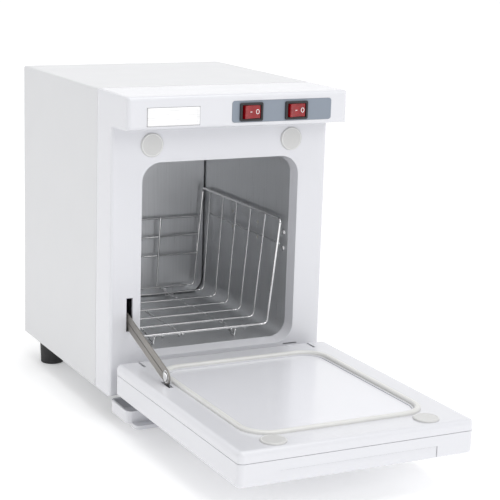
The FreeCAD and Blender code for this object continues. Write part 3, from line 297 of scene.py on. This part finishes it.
def ring(bm, spot, across, up, wide, high, width, thick, steps=28):
    """An oval band on the plane of across and up, of a rectangular section, sizes in mm."""
    across, up = across.normalized(), up.normalized()
    normal = across.cross(up)
    rows = []
    for i in range(steps):
        t = 2 * math.pi * i / steps
        row = []
        for grow, rise in ((0, 0), (-width, 0), (-width, thick), (0, thick)):
            x, y = (wide / 2 + grow) * math.cos(t), (high / 2 + grow) * math.sin(t)
            row.append(bm.verts.new(spot + (across * x + up * y + normal * rise) * MM))
        rows.append(row)
    for row, after in zip(rows, rows[1:] + rows[:1]):
        join(bm, row, after)


def bar(bm, spot, across, up, wide, high, thick, cut=0.08):
    """A raised bar on the plane of across and up, with cut outer corners, sizes in mm."""
    across, up = across.normalized(), up.normalized()
    normal = across.cross(up)
    rows = []
    for rise, inset in ((0, 0), (thick * 0.7, 0), (thick, cut)):
        w, h = wide / 2 - inset, high / 2 - inset
        rows.append([bm.verts.new(spot + (across * x + up * y + normal * rise) * MM)
                     for x, y in ((-w, -h), (w, -h), (w, h), (-w, h))])
    for row, after in zip(rows, rows[1:]):
        join(bm, row, after)
    bm.faces.new(rows[0])
    bm.faces.new(rows[-1])


def band(name, body, y, corners, ways, width, rise=0.05):
    """A fine painted shade line that faces forward, each (x, z) corner widened along its (x, z) way.
    """
    bm = bmesh.new()
    rows = []
    for (x, z), (way_x, way_z) in zip(corners, ways):
        corner, way = at(x, y, z), Vector((way_x, 0, way_z))
        rows.append([bm.verts.new(corner + (way * grow + FORWARD * lift) * MM)
                     for grow, lift in ((0, 0), (width, 0), (width, rise), (0, rise))])
    for row, after in zip(rows, rows[1:]):
        join(bm, row, after)
    bm.faces.new(rows[0])
    bm.faces.new(rows[-1])
    piece(name, body, painted_shade_line, bm, smooth=False)


# a painted shade line round the grip in the door's free edge, which is open below
GRIP_X, GRIP_LOW, GRIP_HIGH = 68, 6.6, 15.5
band("grip_painted_shade_line", "door", -244.31,
     ((-GRIP_X, GRIP_LOW), (-GRIP_X, GRIP_HIGH), (GRIP_X, GRIP_HIGH), (GRIP_X, GRIP_LOW)),
     ((1, 0), (1, -1), (-1, -1), (-1, 0)), 0.34)

# the shadow line round the name plate on the hood
PLATE_LEFT, PLATE_RIGHT, PLATE_LOW, PLATE_HIGH = -85.1, -38.1, 237.5, 252.5
band("plate_line", "cabinet", -33.01,
     ((PLATE_LEFT, PLATE_LOW), (PLATE_LEFT, PLATE_HIGH), (PLATE_RIGHT, PLATE_HIGH),
      (PLATE_RIGHT, PLATE_LOW), (PLATE_LEFT, PLATE_LOW)),
     ((-1, -1), (-1, 1), (1, 1), (1, -1), (-1, -1)), 0.3)

# the bright washer round the stay's pivot pin
STAY_PIVOT = at(-85.8, -80.5, 40.0)
bm = bmesh.new()
ring(bm, STAY_PIVOT, FORWARD, UP, 10.6, 10.6, 1.1, 0.35, 48)
piece("pivot_ring", "stay", wire, bm)

# the dash and the ring on each rocker: places in mm from its pivot, before its tilt at rest
ROCKER_Y, ROCKER_Z = -30.5, 246.6
ROCKER_TILT = Matrix.Rotation(math.radians(9.0), 3, "Z")
RING_SPOT, RING_SLOPE = Vector((5.0, -4.62, 0)), Vector((4.2, -1.0, 0))
DASH_SPOT, DASH_SLOPE = Vector((-1.3, -4.1, 0)), Vector((3.6, 0.3, 0))
MARK_THICK = 0.12
for name, body, rocker_x in (("power_marks", "power_switch", 52.0), ("uv_marks", "uv_switch", 9.2)):
    pivot = at(rocker_x, ROCKER_Y, ROCKER_Z)
    bm = bmesh.new()
    ring(bm, pivot + ROCKER_TILT @ RING_SPOT * MM, ROCKER_TILT @ RING_SLOPE, UP,
         3.1, 4.2, 0.5, MARK_THICK)
    bar(bm, pivot + ROCKER_TILT @ DASH_SPOT * MM, ROCKER_TILT @ DASH_SLOPE, UP,
        2.0, 0.6, MARK_THICK)
    piece(name, body, mark, bm, smooth=False)

# a fine raised rim near the edge of each catch cap
CAP_X, RIM_SIZE, RIM_WIDTH, RIM_THICK = 66.3, 18.6, 0.5, 0.14
for name, body, cap_y, cap_z, up in (("cabinet_cap_rims", "cabinet", -1.3, 217.0, UP),
                                     ("door_cap_rims", "door", -230.0, 34.3, -FORWARD)):
    bm = bmesh.new()
    for cap_x in (-CAP_X, CAP_X):
        ring(bm, at(cap_x, cap_y, cap_z), RIGHT, up, RIM_SIZE, RIM_SIZE, RIM_WIDTH, RIM_THICK, 72)
    piece(name, body, cap_rim, bm)


# ---------------------------------------------------------------- floor, light and camera
FLOOR_FRONT, FLOOR_BACK, FLOOR_SIDE = -6.0, 2.6, 7.0
SWEEP_RADIUS, SWEEP_STEPS, WALL_TOP = 1.2, 12, 6.0


def floor():
    """A pale sweep that rises far behind the object."""
    profile = [(FLOOR_FRONT, 0.0), (FLOOR_BACK, 0.0)]
    for i in range(1, SWEEP_STEPS + 1):
        t = math.pi / 2 * i / SWEEP_STEPS
        profile.append((FLOOR_BACK + SWEEP_RADIUS * math.sin(t), SWEEP_RADIUS * (1 - math.cos(t))))
    profile.append((FLOOR_BACK + SWEEP_RADIUS, WALL_TOP))
    bm = bmesh.new()
    left, right = [[bm.verts.new((x, y, z)) for y, z in profile] for x in (-FLOOR_SIDE, FLOOR_SIDE)]
    for i in range(len(profile) - 1):
        bm.faces.new((left[i], right[i], right[i + 1], left[i + 1]))
    paper = Nodes("studio_floor")
    tone = paper.ramp(paper.noise(1.5, 2.0), (0.93, 0.93, 0.93), (0.95, 0.95, 0.95))
    paper.into("Base Color", tone)
    paper.set(Roughness=0.9, Emission_Color=(1.0, 1.0, 1.0, 1.0), Emission_Strength=0.24)
    obj = mesh_object("floor", bm, paper, smooth=True)


def area_light(name, where, target, size, power):
    """A rectangular lamp turned to its target."""
    data = bpy.data.lights.new(name, "AREA")
    data.shape = "RECTANGLE"
    data.size, data.size_y = size
    data.energy = power
    obj = bpy.data.objects.new(name, data)
    bpy.context.scene.collection.objects.link(obj)
    obj.location = where
    obj.rotation_euler = (Vector(target) - Vector(where)).to_track_quat("-Z", "Y").to_euler()


floor()
bpy.context.scene.view_settings.view_transform = "Standard"
world = bpy.data.worlds.new("studio")
bpy.context.scene.world = world
world.use_nodes = True
sky = world.node_tree.nodes["Background"]
sky.inputs["Color"].default_value = (0.99, 0.99, 1.0, 1.0)
sky.inputs["Strength"].default_value = 0.68
area_light("key", (0.2, -2.4, 1.5), (0, 0, 0.15), (1.2, 1.0), 12)
area_light("top", (0.2, -0.5, 2.6), (0, -0.1, 0.1), (2.0, 2.0), 26)
area_light("right", (2.4, -0.8, 1.2), (0, 0, 0.1), (1.4, 1.6), 4)

# the photograph's camera: its focal length in pixels of a 500-pixel frame, its angles in radians
FOCAL_PX, FRAME_PX, SENSOR = 1495.06, 500, 36.0
AZIMUTH, ELEVATION, ROLL = -0.4525, 0.2207, 0.0247
CAMERA_SPOT = at(-563.4, -1138.8, 406.6)
cam = bpy.data.cameras.new("camera")
cam.sensor_width = SENSOR
cam.lens = FOCAL_PX * SENSOR / FRAME_PX
cam.shift_x = 0.08
camera = bpy.data.objects.new("camera", cam)
bpy.context.scene.collection.objects.link(camera)
back = Vector((math.sin(AZIMUTH) * math.cos(ELEVATION), -math.cos(AZIMUTH) * math.cos(ELEVATION),
               math.sin(ELEVATION)))
level = Vector((math.cos(AZIMUTH), math.sin(AZIMUTH), 0))
steep = back.cross(level)
right = level * math.cos(ROLL) + steep * math.sin(ROLL)
up = steep * math.cos(ROLL) - level * math.sin(ROLL)
axes = Matrix((right, up, back)).transposed().to_4x4()
camera.matrix_world = Matrix.Translation(CAMERA_SPOT) @ axes
bpy.context.scene.camera = camera
